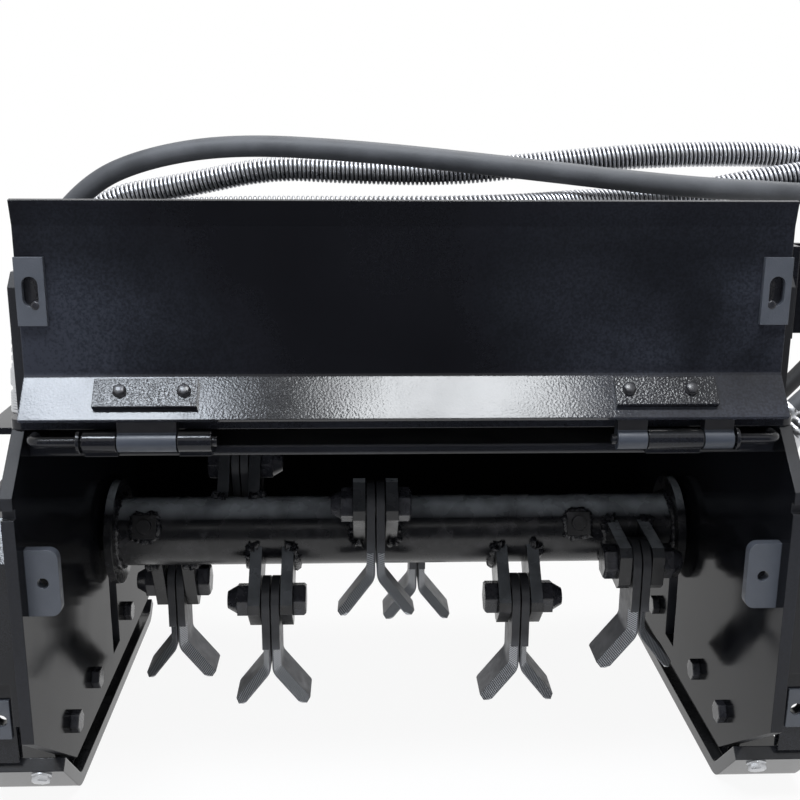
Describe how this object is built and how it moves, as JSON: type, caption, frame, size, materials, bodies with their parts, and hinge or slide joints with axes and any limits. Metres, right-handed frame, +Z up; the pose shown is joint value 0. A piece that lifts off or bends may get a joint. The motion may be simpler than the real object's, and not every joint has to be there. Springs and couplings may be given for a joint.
{
  "type": "excavator mulcher",
  "caption": "Hydraulic flail mulching head for a small excavator, with an open mouth, a raised hinged flap, a rotor of paired swinging flails, bolted skids and hitch ears.",
  "frame": {"origin": "middle of the skids' ground contact: centre of the bounding box at its base, hoses left out", "axes": "+X to the motor side, +Y from the open mouth to the rear, +Z up"},
  "size_m": [0.8575, 0.478, 0.5883],
  "materials": {
    "black_paint": "gloss",
    "grey_paint": "satin",
    "black_steel": "satin",
    "blade_steel": "satin",
    "zinc_steel": "satin",
    "spring_steel": "satin",
    "rubber": "matte",
    "hose_rubber": "matte"
  },
  "bodies": {
    "housing": {"side_plate_left": "black_paint", "side_plate_right": "black_paint", "roof_ledge": "black_paint", "front_bar": "black_paint", "hood": "black_paint", "chamber_liner": "black_paint", "lock_tabs": "grey_paint", "skid_left": "black_paint", "skid_right": "black_paint", "skid_bolts": "zinc_steel", "guard_left": "black_paint", "guard_right": "black_paint", "bearing": "black_paint", "motor": "black_paint", "hitch_base": "black_paint", "hitch_ear_left": "black_paint", "hitch_ear_right": "black_paint", "housing_knuckles": "black_paint", "hinge_pins": "black_steel", "flap_stops": "rubber", "hose_bracket": "black_paint", "hose_elbows": "zinc_steel", "hose_plain": "hose_rubber", "hose_guarded_high": "spring_steel", "hose_guarded_low": "spring_steel", "hose_couplings": "zinc_steel", "coupling_rest": "black_paint"},
    "flap": {"flap_sheet": "black_paint", "slot_tabs": "grey_paint", "backing_plates": "black_paint", "flap_knuckles": "grey_paint"},
    "rotor": {"rotor_drum": "black_paint", "flail_bolts": "black_steel"},
    "flail_1": {"flail_1": "blade_steel"},
    "flail_2": {"flail_2": "blade_steel"},
    "flail_3": {"flail_3": "blade_steel"},
    "flail_4": {"flail_4": "blade_steel"},
    "flail_5": {"flail_5": "blade_steel"},
    "flail_6": {"flail_6": "blade_steel"},
    "flail_7": {"flail_7": "blade_steel"}
  },
  "joints": [
    {"name": "flap_hinge", "type": "hinge", "parent": "housing", "child": "flap", "pos_m": [0, -0.217, 0.361], "axis": [1, 0, 0], "range_deg": [0, 180]},
    {"name": "rotor_spin", "type": "hinge", "parent": "housing", "child": "rotor", "pos_m": [0, 0.044, 0.185], "axis": [1, 0, 0], "continuous": true},
    {"name": "flail_1_swing", "type": "hinge", "parent": "rotor", "child": "flail_1", "pos_m": [-0.2355, 0.07491, 0.11557], "axis": [-1, 0, 0], "range_deg": [-144, 96]},
    {"name": "flail_2_swing", "type": "hinge", "parent": "rotor", "child": "flail_2", "pos_m": [-0.1275, -0.00974, 0.13126], "axis": [-1, 0, 0], "range_deg": [-75, 165]},
    {"name": "flail_3_swing", "type": "hinge", "parent": "rotor", "child": "flail_3", "pos_m": [-0.0225, -0.01422, 0.23385], "axis": [-1, 0, 0], "range_deg": [0, 240]},
    {"name": "flail_4_swing", "type": "hinge", "parent": "rotor", "child": "flail_4", "pos_m": [0.0255, 0.11628, 0.16151], "axis": [-1, 0, 0], "range_deg": [-192, 48]},
    {"name": "flail_5_swing", "type": "hinge", "parent": "rotor", "child": "flail_5", "pos_m": [0.123, -0.00974, 0.13126], "axis": [-1, 0, 0], "range_deg": [-75, 165]},
    {"name": "flail_6_swing", "type": "hinge", "parent": "rotor", "child": "flail_6", "pos_m": [0.237, -0.03171, 0.17838], "axis": [-1, 0, 0], "range_deg": [-35, 205]},
    {"name": "flail_7_swing", "type": "hinge", "parent": "rotor", "child": "flail_7", "pos_m": [-0.165, 0.09285, 0.24322], "axis": [-1, 0, 0], "range_deg": [-240, 0]}
  ]
}
